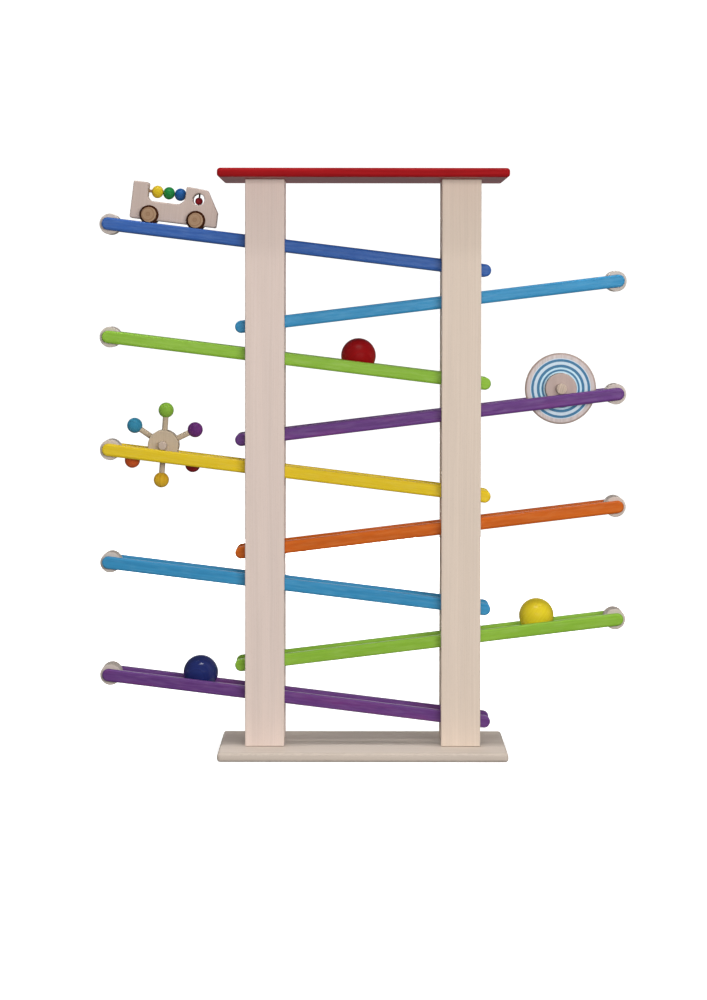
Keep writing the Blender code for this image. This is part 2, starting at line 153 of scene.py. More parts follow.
def plate(loops, width, rounding, steps=3):
    """Outlines of (x, z) points, extruded along Y and centred, with rounded edges. Inner loops are holes."""
    curve = bpy.data.curves.new("outline", "CURVE")
    curve.dimensions = "2D"
    curve.fill_mode = "BOTH"
    curve.extrude = width / 2 - rounding
    curve.bevel_depth = rounding
    curve.bevel_resolution = steps
    curve.offset = -rounding
    for loop in loops:
        spline = curve.splines.new("POLY")
        spline.points.add(len(loop) - 1)
        for point, (x, z) in zip(spline.points, loop):
            point.co = (x, z, 0, 1)
        spline.use_cyclic_u = True
    guide = bpy.data.objects.new("outline", curve)
    bpy.context.scene.collection.objects.link(guide)
    evaluated = guide.evaluated_get(bpy.context.evaluated_depsgraph_get())
    mesh = bpy.data.meshes.new_from_object(evaluated)
    bpy.data.objects.remove(guide)
    shape = bmesh.new()
    shape.from_mesh(mesh)
    bpy.data.meshes.remove(mesh)
    bmesh.ops.remove_doubles(shape, verts=shape.verts, dist=0.002 * MM)
    bmesh.ops.rotate(shape, verts=shape.verts, matrix=Matrix.Rotation(math.pi / 2, 3, "X"))
    return shape


def rounded_box(size, rounding, steps=5):
    shape = bmesh.new()
    bmesh.ops.create_cube(shape, size=1, matrix=Matrix.Diagonal((*size, 1)))
    bmesh.ops.bevel(
        shape, geom=shape.edges[:], offset=rounding, segments=steps, profile=0.5, affect="EDGES"
    )
    return shape


def lathe(profile, closed=False, steps=64):
    """A profile of (radius, x) points turned about local X. A closed one is the section of a ring."""
    shape = bmesh.new()
    rings = []
    for radius, x in profile:
        around = steps if radius > 0 else 1
        angles = [math.tau * i / steps for i in range(around)]
        rings.append([shape.verts.new((x, radius * math.cos(a), radius * math.sin(a))) for a in angles])
    followers = rings[1:] + (rings[:1] if closed else [])
    for row, follower in zip(rings, followers):
        for i in range(steps):
            j = (i + 1) % steps
            near = (row[i % len(row)], row[j % len(row)])
            far = (follower[j % len(follower)], follower[i % len(follower)])
            shape.faces.new(dict.fromkeys((*near, *far)))
    return shape


def dowel(radius, length, rounding=DOWEL_ROUNDING, dome=0.0, steps=64):
    """A round bar along X with rounded ends. Dome is how far the middle of an end stands out."""
    half = length / 2
    profile = [(0, half, 0), (radius, half - dome, rounding), (radius, dome - half, rounding), (0, -half, 0)]
    return lathe([tuple(point) for point in fillet(profile, closed=False)], steps=steps)


def ring(outer, inner, width, rounding, steps=72):
    half = width / 2
    profile = [(inner, half, 0), (outer, half, rounding), (outer, -half, rounding), (inner, -half, 0)]
    return lathe([tuple(point) for point in fillet(profile)], closed=True, steps=steps)


def ball(radius, bore=0.0, steps=48):
    """A ball about the origin. With a bore, it is drilled along X and the mouths of the hole are eased."""
    if bore:
        first = math.asin((bore + BORE_EASING) / radius)
        angles = [first + (math.pi - 2 * first) * i / steps for i in range(steps + 1)]
        profile = [(radius * math.sin(a), radius * math.cos(a)) for a in angles]
        inside = radius * math.cos(first) - BORE_EASING
        profile += [(bore, -inside), (bore, inside)]
        return lathe(profile, closed=True)
    angles = [math.pi * i / steps for i in range(1, steps)]
    profile = [(0, radius), *((radius * math.sin(a), radius * math.cos(a)) for a in angles), (0, -radius)]
    return lathe(profile)


def drill(shape, bores):
    """Cuts bores out of a closed shape. A bore is a matrix, whose X it runs along, a radius and a length."""
    scene = bpy.context.scene
    bmesh.ops.recalc_face_normals(shape, faces=shape.faces)
    mesh = bpy.data.meshes.new("block")
    shape.to_mesh(mesh)
    shape.free()
    block = bpy.data.objects.new("block", mesh)
    scene.collection.objects.link(block)
    made = [block]
    for place, radius, length in bores:
        bore = dowel(radius, length, BORE_ROUNDING, steps=40)
        bmesh.ops.recalc_face_normals(bore, faces=bore.faces)
        bore_mesh = bpy.data.meshes.new("bore")
        bore.to_mesh(bore_mesh)
        bore.free()
        cutter = bpy.data.objects.new("bore", bore_mesh)
        scene.collection.objects.link(cutter)
        cutter.matrix_world = place
        cut = block.modifiers.new("bore", "BOOLEAN")
        cut.object = cutter
        made.append(cutter)
    evaluated = block.evaluated_get(bpy.context.evaluated_depsgraph_get())
    drilled = bpy.data.meshes.new_from_object(evaluated)
    result = bmesh.new()
    result.from_mesh(drilled)
    bpy.data.meshes.remove(drilled)
    for item in made:
        spent = item.data
        bpy.data.objects.remove(item)
        bpy.data.meshes.remove(spent)
    return result


# ---- Pieces ----

GRAIN_AXES = {
    "X": Matrix.Identity(3),
    "Z": Matrix(((0, 0, 1), (1, 0, 0), (0, 1, 0))),
}


def axes_at(origin, x_axis, z_axis=WORLD_Z):
    """The matrix of a frame at the origin, with that X axis and its Z axis as near the other as can be."""
    x_axis = x_axis.normalized()
    y_axis = z_axis.cross(x_axis).normalized()
    z_axis = x_axis.cross(y_axis)
    return Matrix.Translation(origin) @ Matrix((x_axis, y_axis, z_axis)).transposed().to_4x4()


def middle(node):
    low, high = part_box(node)
    return (low + high) / 2


def size_of(node):
    low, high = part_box(node)
    return high - low


def mark_surface(mesh, name, grain_axis, narrow):
    """Stores the attributes that the materials read. A face no larger than narrow is on a rounded edge."""
    turn = GRAIN_AXES[grain_axis]
    draw = random.Random(name)
    about = Matrix.Rotation(draw.uniform(0, math.tau), 3, "X")
    heart = about @ Vector((0, 0, draw.uniform(45, 110) * MM))
    shift = heart + Vector((draw.uniform(0, 9), 0, 0))
    places = [value for vertex in mesh.vertices for value in turn @ vertex.co + shift]
    mesh.attributes.new("grain", "FLOAT_VECTOR", "POINT").data.foreach_set("vector", places)
    ends = [abs((turn @ face.normal).x) for face in mesh.polygons]
    mesh.attributes.new("end_grain", "FLOAT", "FACE").data.foreach_set("value", ends)
    # Rounded edges: stained wood is rubbed lighter there, and bare wood is given painted shade there
    edge_wear_and_shade = [1.0] * len(mesh.vertices)
    for face in mesh.polygons:
        if face.area > narrow:
            for index in face.vertices:
                edge_wear_and_shade[index] = 0.0
    mesh.attributes.new("edge_wear_and_shade", "FLOAT", "POINT").data.foreach_set("value", edge_wear_and_shade)


def add_piece(name, shape, place, material, *nodes, grain_axis="X", narrow=0.0):
    """Makes the piece, shows it in place of its nodes, and lets it ride on their body."""
    bmesh.ops.recalc_face_normals(shape, faces=shape.faces)
    mesh = bpy.data.meshes.new(name)
    shape.to_mesh(mesh)
    shape.free()
    mark_surface(mesh, name, grain_axis, narrow)
    mesh.shade_smooth()
    mesh.set_sharp_from_angle(angle=math.radians(50))
    mesh.materials.append(material)
    piece = bpy.data.objects.new(name, mesh)
    bpy.context.scene.collection.objects.link(piece)
    piece.matrix_world = place
    flats = piece.modifiers.new("flat faces stay flat", "WEIGHTED_NORMAL")
    flats.keep_sharp = True
    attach(piece, BODY_OF[nodes[0]])
    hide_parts(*nodes)
    return piece


# ---- Materials ----


def linear(red, green, blue):
    """A colour given as 0-255 sRGB, as the shader takes it."""
    channels = (value / 255 for value in (red, green, blue))
    return (*(c / 12.92 if c <= 0.04045 else ((c + 0.055) / 1.055) ** 2.4 for c in channels), 1)


class Graph:
    """Short ways to add nodes to a material or world. A value is a number, a tuple or a node's output."""

    def __init__(self, owner):
        owner.use_nodes = True
        self.owner = owner
        self.tree = owner.node_tree
        self.shader = self.tree.nodes.get("Principled BSDF")

    def node(self, kind, inputs, **settings):
        node = self.tree.nodes.new("ShaderNode" + kind)
        for setting, value in settings.items():
            setattr(node, setting, value)
        for key, value in inputs.items():
            self.feed(node.inputs[key], value)
        return node

    def feed(self, socket, value):
        if isinstance(value, bpy.types.NodeSocket):
            self.tree.links.new(value, socket)
        else:
            socket.default_value = value

    def set(self, **sockets):
        for key, value in sockets.items():
            self.feed(self.shader.inputs[key.replace("_", " ")], value)

    def attribute(self, name, output):
        return self.node("Attribute", {}, attribute_name=name).outputs[output]

    def math(self, operation, first, second=0.0):
        return self.node("Math", {0: first, 1: second}, operation=operation).outputs[0]

    def vector(self, operation, first, second=(0, 0, 0), output="Vector"):
        return self.node("VectorMath", {0: first, 1: second}, operation=operation).outputs[output]

    def noise(self, place, scale, detail=2.0, roughness=0.5):
        """Noise from 0 to 1 whose grains are 1/scale long. The scale is one number, or one for each axis."""
        if isinstance(scale, tuple):
            place = self.vector("MULTIPLY", place, scale)
            scale = 1.0
        sockets = {"Vector": place, "Scale": scale, "Detail": detail, "Roughness": roughness}
        return self.node("TexNoise", sockets).outputs["Fac"]

    def spread(self, value, low, high, to_low=0.0, to_high=1.0):
        """Takes low..high to to_low..to_high, and stops at both ends."""
        sockets = {"Value": value, "From Min": low, "From Max": high}
        sockets.update({"To Min": to_low, "To Max": to_high})
        return self.node("MapRange", sockets).outputs["Result"]

    def mix(self, share, first, second, blend="MIX"):
        node = self.node("Mix", {0: share, 6: first, 7: second}, data_type="RGBA", blend_type=blend)
        return node.outputs[2]

    def bump(self, height, distance, strength=1.0):
        sockets = {"Height": height, "Distance": distance, "Strength": strength}
        return self.node("Bump", sockets).outputs["Normal"]


def wood_figure(graph):
    """The figure of sawn wood, each part of it from 0 to 1, and the place in the log where it is read."""
    place = graph.attribute("grain", "Vector")
    wander = graph.noise(place, (2.2, 9, 9), 3)
    from_heart = graph.vector("LENGTH", graph.vector("MULTIPLY", place, (0, 1, 1)), output="Value")
    radius = graph.math("ADD", from_heart, graph.math("MULTIPLY", wander, 16 * MM))
    rings = graph.node("TexNoise", {"W": radius, "Scale": 420, "Detail": 2.0}, noise_dimensions="1D")
    return {
        "rings": graph.spread(rings.outputs["Fac"], 0.3, 0.7),
        "streaks": graph.noise(place, (3, 70, 70), 2),
        "fibres": graph.noise(place, (16, 1300, 1300), 3, 0.6),
        "pores": graph.spread(graph.noise(place, (420, 3200, 3200), 1), 0.66, 0.74),
        "ends": graph.spread(graph.attribute("end_grain", "Fac"), 0.6, 0.95),
        "place": place,
    }


def bare_wood(name, light, dark, end, roughness=0.58):
    """Sanded wood under a thin oil: light and dark are its earlywood and latewood, end its end grain."""
    graph = Graph(bpy.data.materials.new(name))
    figure = wood_figure(graph)
    colour = graph.mix(graph.spread(figure["rings"], 0, 1, 0.0, 0.35), linear(*light), linear(*dark))
    streaks = graph.spread(figure["streaks"], 0.3, 0.7, 0.96, 1.03)
    fibres = graph.spread(figure["fibres"], 0.3, 0.7, 0.97, 1.02)
    pores = graph.spread(figure["pores"], 0, 1, 1.0, 0.84)
    tone = graph.math("MULTIPLY", graph.math("MULTIPLY", streaks, fibres), pores)
    cut = graph.mix(figure["rings"], linear(*end), linear(*(0.86 * channel for channel in end)))
    colour = graph.mix(graph.spread(figure["ends"], 0, 1, 0.0, 0.85), colour, cut)
    tint = graph.node("CombineColor", {0: tone, 1: tone, 2: tone}).outputs[0]
    colour = graph.mix(1.0, colour, tint, "MULTIPLY")
    # Painted shade: the rounded edges are darkened in patches towards the latewood colour
    edge_shade = graph.math("MULTIPLY", graph.attribute("edge_wear_and_shade", "Fac"), graph.noise(figure["place"], 160, 2))
    colour = graph.mix(graph.spread(edge_shade, 0.2, 0.8, 0.0, 0.3), colour, linear(*(0.80 * c for c in dark)))
    height = graph.math("SUBTRACT", graph.math("MULTIPLY", figure["fibres"], 0.6), figure["pores"])
    graph.set(
        Base_Color=colour,
        Roughness=graph.spread(figure["fibres"], 0.2, 0.8, roughness - 0.06, roughness + 0.08),
        Normal=graph.bump(height, 0.05 * MM),
        Specular_IOR_Level=0.1,
    )
    return graph.owner


def stained_wood(name, main, deep, tint, roughness=0.32):
    """Wood under a translucent stain: its figure shows through as deep, and the tint in soft patches."""
    graph = Graph(bpy.data.materials.new(name))
    figure = wood_figure(graph)
    rings = graph.math("MULTIPLY", figure["rings"], 0.5)
    show = graph.math("ADD", rings, graph.math("MULTIPLY", figure["fibres"], 0.5))
    colour = graph.mix(graph.spread(show, 0.25, 0.8, 0.0, 0.75), linear(*main), linear(*deep))
    patches = graph.noise(figure["place"], (14, 45, 45), 3, 0.6)
    colour = graph.mix(graph.spread(patches, 0.5, 0.72, 0.0, 0.45), colour, linear(*tint))
    soaked = graph.spread(figure["ends"], 0, 1, 0.0, 0.35)
    colour = graph.mix(soaked, colour, linear(*(0.7 * channel for channel in deep)))
    in_pores = graph.spread(figure["pores"], 0, 1, 0.0, 0.25)
    colour = graph.mix(in_pores, colour, linear(*(0.6 * channel for channel in deep)))
    rubs = graph.noise(figure["place"], (40, 300, 300), 3)
    rubbed = graph.math("MULTIPLY", graph.attribute("edge_wear_and_shade", "Fac"), rubs)
    lighter = [min(255, 0.75 * channel + 60) for channel in main]
    colour = graph.mix(graph.spread(rubbed, 0.45, 0.75, 0.0, 0.35), colour, linear(*lighter))
    height = graph.math("SUBTRACT", graph.math("MULTIPLY", figure["fibres"], 0.5), figure["pores"])
    graph.set(
        Base_Color=colour,
        Roughness=graph.spread(figure["streaks"], 0.3, 0.7, roughness - 0.05, roughness + 0.07),
        Normal=graph.bump(height, 0.03 * MM),
        Specular_IOR_Level=0.5,
    )
    return graph.owner


def lacquered_wood(name, main, deep, roughness=0.22, gloss=0.4):
    """Opaque lacquer: even colour, orange peel, and faint rings. Gloss is how strongly it reflects."""
    graph = Graph(bpy.data.materials.new(name))
    figure = wood_figure(graph)
    cloud = graph.noise(figure["place"], 35, 3)
    rings = graph.math("MULTIPLY", figure["rings"], 0.45)
    show = graph.math("ADD", rings, graph.math("MULTIPLY", cloud, 0.55))
    colour = graph.mix(graph.spread(show, 0.25, 0.75), linear(*main), linear(*deep))
    scuffs = graph.spread(graph.noise(figure["place"], (120, 900, 500), 4, 0.7), 0.6, 0.75)
    peel = graph.noise(figure["place"], 900, 1)
    graph.set(
        Base_Color=colour,
        Roughness=graph.spread(scuffs, 0, 1, roughness, roughness + 0.12),
        Normal=graph.bump(graph.math("SUBTRACT", peel, graph.math("MULTIPLY", scuffs, 0.5)), 0.006 * MM),
        Specular_IOR_Level=gloss,
    )
    return graph.owner


DISC_RINGS = (  # outer radius in millimetres of each painted ring, from the hub outwards, and its paint
    (24.8, "light"),
    (27.6, "blue"),
    (30.4, "light"),
    (34.3, "blue"),
    (38.7, "pale"),
    (42.3, "blue"),
    (43.5, "pale"),
)
DISC_PAINTS = {"light": (204, 236, 252), "pale": (212, 229, 243), "blue": (72, 128, 168)}
DISC_WOOD = (218, 205, 204)
# Colour of the disc's rim: its darker edge grain together with painted shade on the rounded edge
DISC_RIM_GRAIN_AND_SHADE = (172, 150, 140)
DISC_RIM_FROM = 48.2 * MM


def ringed_paint(name):
    """Lathe-painted rings on a disc of pale wood, whose bare rim is darker: its edge grain, and painted shade on
    its rounded edge.
    """
    graph = Graph(bpy.data.materials.new(name))
    figure = wood_figure(graph)
    across = graph.vector("MULTIPLY", graph.attribute("turned", "Vector"), (0, 1, 1))
    radius = graph.vector("LENGTH", across, output="Value")
    ragged = graph.math("MULTIPLY", graph.noise(figure["place"], 260, 3), 0.5 * MM)
    radius = graph.math("ADD", radius, ragged)
    latewood = linear(*(0.92 * channel for channel in DISC_WOOD))
    colour = graph.mix(figure["rings"], linear(*DISC_WOOD), latewood)
    brushed = graph.node("TexNoise", {"W": radius, "Scale": 1500, "Detail": 2.0}, noise_dimensions="1D")
    shade = graph.spread(brushed.outputs["Fac"], 0.3, 0.7, 0.0, 0.3)
    # Painted shade with the edge grain's darker tone: the rim darkens outwards from here
    rim = graph.spread(radius, DISC_RIM_FROM, DISC_RIM_FROM + 1.6 * MM)
    colour = graph.mix(rim, colour, linear(*DISC_RIM_GRAIN_AND_SHADE))
    for outer, paint in reversed(DISC_RINGS):
        inside = graph.spread(radius, (outer + 0.05) * MM, (outer + 0.45) * MM, 1.0, 0.0)
        tone = DISC_PAINTS[paint]
        coat = graph.mix(shade, linear(*tone), linear(*(0.84 * channel for channel in tone)))
        colour = graph.mix(inside, colour, coat)
    fibres = graph.spread(figure["fibres"], 0.3, 0.7, 0.95, 1.03)
    tint = graph.node("CombineColor", {0: fibres, 1: fibres, 2: fibres}).outputs[0]
    graph.set(
        Base_Color=graph.mix(1.0, colour, tint, "MULTIPLY"),
        Roughness=graph.spread(brushed.outputs["Fac"], 0.3, 0.7, 0.38, 0.5),
        Normal=graph.bump(graph.math("ADD", brushed.outputs["Fac"], figure["fibres"]), 0.03 * MM),
    )
    return graph.owner


def turned_end_grain(name, light, dark):
    """A slice across a branch: rings about its own middle, fine rays, and small checks."""
    graph = Graph(bpy.data.materials.new(name))
    figure = wood_figure(graph)
    place = graph.attribute("turned", "Vector")
    offset = graph.vector("ADD", graph.vector("MULTIPLY", place, (0, 1, 1)), (0, 1.1 * MM, -0.8 * MM))
    wander = graph.noise(place, 120, 2)
    from_middle = graph.vector("LENGTH", offset, output="Value")
    radius = graph.math("ADD", from_middle, graph.math("MULTIPLY", wander, 1.6 * MM))
    rings = graph.node("TexNoise", {"W": radius, "Scale": 480, "Detail": 3.0}, noise_dimensions="1D")
    bands = graph.spread(rings.outputs["Fac"], 0.32, 0.68)
    speckle = graph.noise(place, 2400, 2)
    colour = graph.mix(bands, linear(*light), linear(*dark))
    colour = graph.mix(graph.spread(speckle, 0.4, 0.7, 0.0, 0.35), colour, linear(*(0.75 * c for c in dark)))
    graph.set(
        Base_Color=colour,
        Roughness=graph.spread(figure["fibres"], 0.2, 0.8, 0.58, 0.7),
        Normal=graph.bump(graph.math("ADD", bands, speckle), 0.05 * MM),
    )
    return graph.owner


def dark_wire(name):
    graph = Graph(bpy.data.materials.new(name))
    place = graph.attribute("grain", "Vector")
    drawn = graph.noise(place, (60, 4000, 4000), 3)
    graph.set(
        Base_Color=graph.mix(drawn, linear(74, 60, 50), linear(44, 34, 28)),
        Metallic=1.0,
        Roughness=graph.spread(drawn, 0.3, 0.7, 0.3, 0.45),
        Normal=graph.bump(drawn, 0.01 * MM),
    )
    return graph.owner


WARM_WOOD = bare_wood("warm_beech", (219, 203, 189), (209, 191, 174), (203, 188, 170))
BASE_WOOD = bare_wood("base_beech", (205, 192, 181), (196, 181, 167), (190, 176, 162))
AXLE_WOOD = bare_wood("axle_beech", (206, 188, 173), (190, 168, 150), (202, 182, 166))
NATURAL = bare_wood("natural_beech", (221, 204, 196), (212, 193, 181), (206, 190, 176))
BLOCK_WOOD = bare_wood("end_block_beech", (203, 192, 184), (190, 177, 166), (188, 174, 162))
TRUCK_WOOD = bare_wood("truck_beech", (195, 178, 170), (182, 162, 152), (186, 166, 154))
DISC_HUB_WOOD = bare_wood("pink_beech", (187, 168, 162), (174, 152, 145), (186, 166, 156))
TURNED = bare_wood("turned_beech", (192, 175, 152), (176, 156, 132), (196, 178, 160))
# Painted shade: the bead rod's beech is made darker for the shade it sits in between the beads
ROD_SHADE_WOOD = bare_wood("rod_beech_painted_shade", (152, 122, 92), (130, 99, 71), (144, 115, 87))
# The wheels' flanges are coloured a very dark brown
FLANGE_DARK_WOOD = bare_wood("very_dark_beech", (66, 36, 20), (44, 22, 12), (36, 18, 10))
SLICE = turned_end_grain("end_grain_slice", (182, 152, 124), (138, 104, 76))
RINGED = ringed_paint("ring_painted_disc")
WIRE = dark_wire("dark_wire")
TOP_RED = lacquered_wood("red_lacquer", (155, 20, 25), (143, 17, 22), 0.42, 0.15)

TRACK_STAINS = {
    "royal_blue_paint": stained_wood("royal_blue_stain", (54, 97, 170), (44, 83, 153), (58, 103, 179)),
    "light_blue_paint": stained_wood("light_blue_stain", (58, 144, 192), (46, 128, 176), (70, 156, 204)),
    "green_paint": stained_wood("green_stain", (140, 187, 60), (124, 170, 50), (154, 198, 78)),
    "violet_paint": stained_wood("violet_stain", (103, 60, 129), (88, 50, 112), (124, 56, 124)),
    "yellow_paint": stained_wood("yellow_stain", (226, 196, 32), (212, 180, 28), (226, 180, 34)),
    "orange_paint": stained_wood("orange_stain", (205, 98, 18), (188, 86, 18), (220, 118, 26)),
}
BALL_PAINTS = {
    "red": lacquered_wood("red_ball_lacquer", (152, 16, 19), (136, 12, 16), 0.38, 0.25),
    "yellow": lacquered_wood("yellow_ball_lacquer", (221, 201, 43), (217, 192, 38), 0.26, 0.4),
    "blue": lacquered_wood("blue_ball_lacquer", (32, 44, 106), (29, 39, 97), 0.16, 0.7),
    "green": lacquered_wood("green_ball_lacquer", (140, 186, 66), (126, 170, 56), 0.4),
    "purple": lacquered_wood("purple_ball_lacquer", (112, 50, 126), (94, 40, 108), 0.4),
    "dark_red": lacquered_wood("dark_red_ball_lacquer", (142, 22, 30), (124, 16, 24), 0.4),
    "orange": lacquered_wood("orange_ball_lacquer", (206, 92, 40), (190, 78, 32), 0.4),
    "teal": lacquered_wood("teal_ball_lacquer", (60, 144, 178), (46, 124, 158), 0.4),
    "amber": lacquered_wood("amber_ball_lacquer", (222, 180, 44), (208, 160, 36), 0.4),
    "driver": lacquered_wood("driver_lacquer", (152, 34, 44), (132, 28, 38), 0.4),
    # Painted shade: the beads' yellow is a darker copy of the yellow ball's lacquer, for the shade they sit in
    "bead_yellow": lacquered_wood("yellow_bead_lacquer", (212, 188, 38), (200, 168, 30), 0.36),
    "bead_green": lacquered_wood("green_bead_lacquer", (34, 134, 68), (24, 114, 54), 0.36),
    "bead_blue": lacquered_wood("blue_bead_lacquer", (36, 94, 160), (28, 78, 138), 0.36),
}


# ---- The object ----


def mark_turned(piece):
    """Stores a turned piece's points in its own frame, whose X is its axis, for what goes round it."""
    places = [value for vertex in piece.data.vertices for value in vertex.co]
    piece.data.attributes.new("turned", "FLOAT_VECTOR", "POINT").data.foreach_set("vector", places)


def build_boards():
    for node, material in (("base_board", BASE_WOOD), ("top_board", TOP_RED)):
        size = size_of(node)
        shape = rounded_box(size, BOARD_ROUNDING, 6)
        narrow = BOARD_EDGE_STRIP * size.x
        add_piece(f"{node}_panel", shape, axes_at(middle(node), WORLD_X), material, node, narrow=narrow)


def build_posts():
    """The posts, between the two boards. Their tenons are out of sight."""
    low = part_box("base_board")[1].z
    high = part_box("top_board")[0].z
    for side in ("left", "right"):
        for row in ("front", "rear"):
            node = f"post_{row}_{side}"
            size = size_of(node)
            shape = rounded_box((high - low - POST_END_GAPS, size.x, size.y), POST_ROUNDING, 4)
            centre = middle(node)
            centre.z = (low + high) / 2
            place = axes_at(centre, WORLD_Z, WORLD_Y)
            wood = NATURAL if side == "left" else WARM_WOOD
            add_piece(f"{node}_plank", shape, place, wood, node, narrow=POST_EDGE_STRIP * (high - low))


def down_track(number):
    return DOWN_RIGHT if number % 2 else DOWN_LEFT


def rail_size(node):
    """Length and height of a rail that lies at the slope, from its upright box."""
    size = size_of(node)
    height = (size.z - size.x * math.tan(SLOPE)) / (math.cos(SLOPE) - math.sin(SLOPE))
    return size.x / math.cos(SLOPE), height


def build_track(number):
    for row in ("front", "rear"):
        node = f"rail_{number}_{row}"
        length, height = rail_size(node)
        round_end = RAIL_END_ROUNDNESS * height
        ways = ((-1, -1), (1, -1), (1, 1), (-1, 1))
        corners = [(x * length / 2, z * height / 2, round_end) for x, z in ways]
        outline = fillet(corners, steps=12)
        shape = plate([outline], size_of(node).y, RAIL_ROUNDING, 4)
        place = axes_at(middle(node), down_track(number))
        stain = TRACK_STAINS[SLOT_OF[node]]
        add_piece(f"{node}_bar", shape, place, stain, node, narrow=RAIL_EDGE_STRIP * length)
    node = f"end_block_{number}"
    shape = dowel(END_BLOCK_RADIUS, size_of(node).y, DOWEL_ROUNDING)
    add_piece(f"{node}_dowel", shape, axes_at(middle(node), TO_FRONT), BLOCK_WOOD, node, grain_axis="Z")


def build_balls():
    for colour in ("red", "yellow", "blue"):
        node = f"ball_{colour}"
        place = axes_at(middle(node), Vector((0.5, -0.4, 0.75)))
        add_piece(f"{node}_turned", ball(BALL_RADIUS, steps=64), place, BALL_PAINTS[colour], node)


def build_disc():
    place = axes_at(middle("disc_axle"), TO_FRONT)
    axle_length = size_of("disc_axle").y
    axle = dowel(DISC_AXLE_RADIUS, axle_length, 1.6 * MM, 0.5 * MM)
    add_piece("disc_axle_dowel", axle, place, AXLE_WOOD, "disc_axle")
    hub = ring(DISC_HUB_RADIUS, DISC_AXLE_RADIUS + BORE_GAP, size_of("disc_hub").y, HUB_ROUNDING)
    add_piece("disc_hub_turned", hub, place, DISC_HUB_WOOD, "disc_hub", grain_axis="Z")
    rim = ring(DISC_RADIUS, DISC_HUB_RADIUS + BORE_GAP, size_of("disc_plate").y, DISC_ROUNDING, 128)
    plate_piece = add_piece("disc_plate_painted", rim, place, RINGED, "disc_plate", grain_axis="Z")
    mark_turned(plate_piece)


def arm_line(node, hub):
    """The way that a spinner's arm points, and the place of its ball."""
    points = [vertex.co for vertex in frame["nodes"][node].data.vertices]
    along = (sum(points, Vector()) / len(points) - hub).normalized()
    tip = max((point - hub).dot(along) for point in points)
    return along, hub + along * (tip - SPINNER_BALL_RADIUS)


def build_spinner():
    hub_place = middle("spinner_axle")
    place = axes_at(hub_place, TO_FRONT)
    axle = dowel(SPINNER_AXLE_RADIUS, size_of("spinner_axle").y, 1.4 * MM, 0.5 * MM)
    add_piece("spinner_axle_dowel", axle, place, AXLE_WOOD, "spinner_axle")
    bore = SPINNER_AXLE_RADIUS + BORE_GAP
    hub = ring(SPINNER_HUB_RADIUS, bore, size_of("spinner_hub").y, HUB_ROUNDING)
    add_piece("spinner_hub_turned", hub, place, TURNED, "spinner_hub", grain_axis="Z")
    for colour in ("green", "purple", "dark_red", "yellow", "orange", "teal"):
        node = f"spinner_arm_{colour}"
        along, ball_place = arm_line(node, hub_place)
        length = (ball_place - hub_place).length - SPOKE_ROOT
        spoke_place = axes_at(hub_place + along * (SPOKE_ROOT + length / 2), along, WORLD_Y)
        spoke = dowel(SPOKE_RADIUS, length, 0.5 * MM, steps=40)
        spoke_piece = add_piece(f"{node}_spoke", spoke, spoke_place, TURNED, node)
        ball_at = axes_at(ball_place, along, WORLD_Y)
        paint = BALL_PAINTS["amber" if colour == "yellow" else colour]
        add_piece(f"{node}_ball", ball(SPINNER_BALL_RADIUS), ball_at, paint, node)


def truck_place():
    rear, front = middle("truck_rear_axle"), middle("truck_front_axle")
    along = (front - rear).normalized()
    return axes_at(rear, along) @ Matrix.Translation((-AXLE_U, 0, -AXLE_V))


TRUCK_OUTLINE = (  # u, v and corner radius in millimetres
    (0, 0, 2.5),
    (124, 0, 2.5),
    (124, 21.5, 3),
    (106.5, 51.6, 2.5),
    (76, 53.6, 2.2),
    (76, 27, 12),
    (21.8, 27, 9),
    (21.8, 53, 2.2),
    (0, 53, 2.2),
)


def truck_bores(to_truck):
    """The bores for both axles, the bead rod and the driver's pin, in the truck's frame."""
    axle_bore = WHEEL_AXLE_RADIUS + WHEEL_AXLE_GAP
    bores = []
    for axle in ("truck_rear_axle", "truck_front_axle"):
        bores.append((axes_at(to_truck @ middle(axle), WORLD_Y), axle_bore, 1.2 * TRUCK_WIDTH))
    rod_length = size_of("bead_rod").x / math.cos(SLOPE) + 2 * BORE_GAP
    bores.append((axes_at(to_truck @ middle("bead_rod"), WORLD_X), BEAD_ROD_RADIUS + BORE_GAP, rod_length))
    pin_length = size_of("driver_pin").z / math.cos(SLOPE) + 2 * BORE_GAP
    pin_place = axes_at(to_truck @ middle("driver_pin"), WORLD_Z, WORLD_X)
    bores.append((pin_place, PIN_RADIUS + BORE_GAP, pin_length))
    return bores


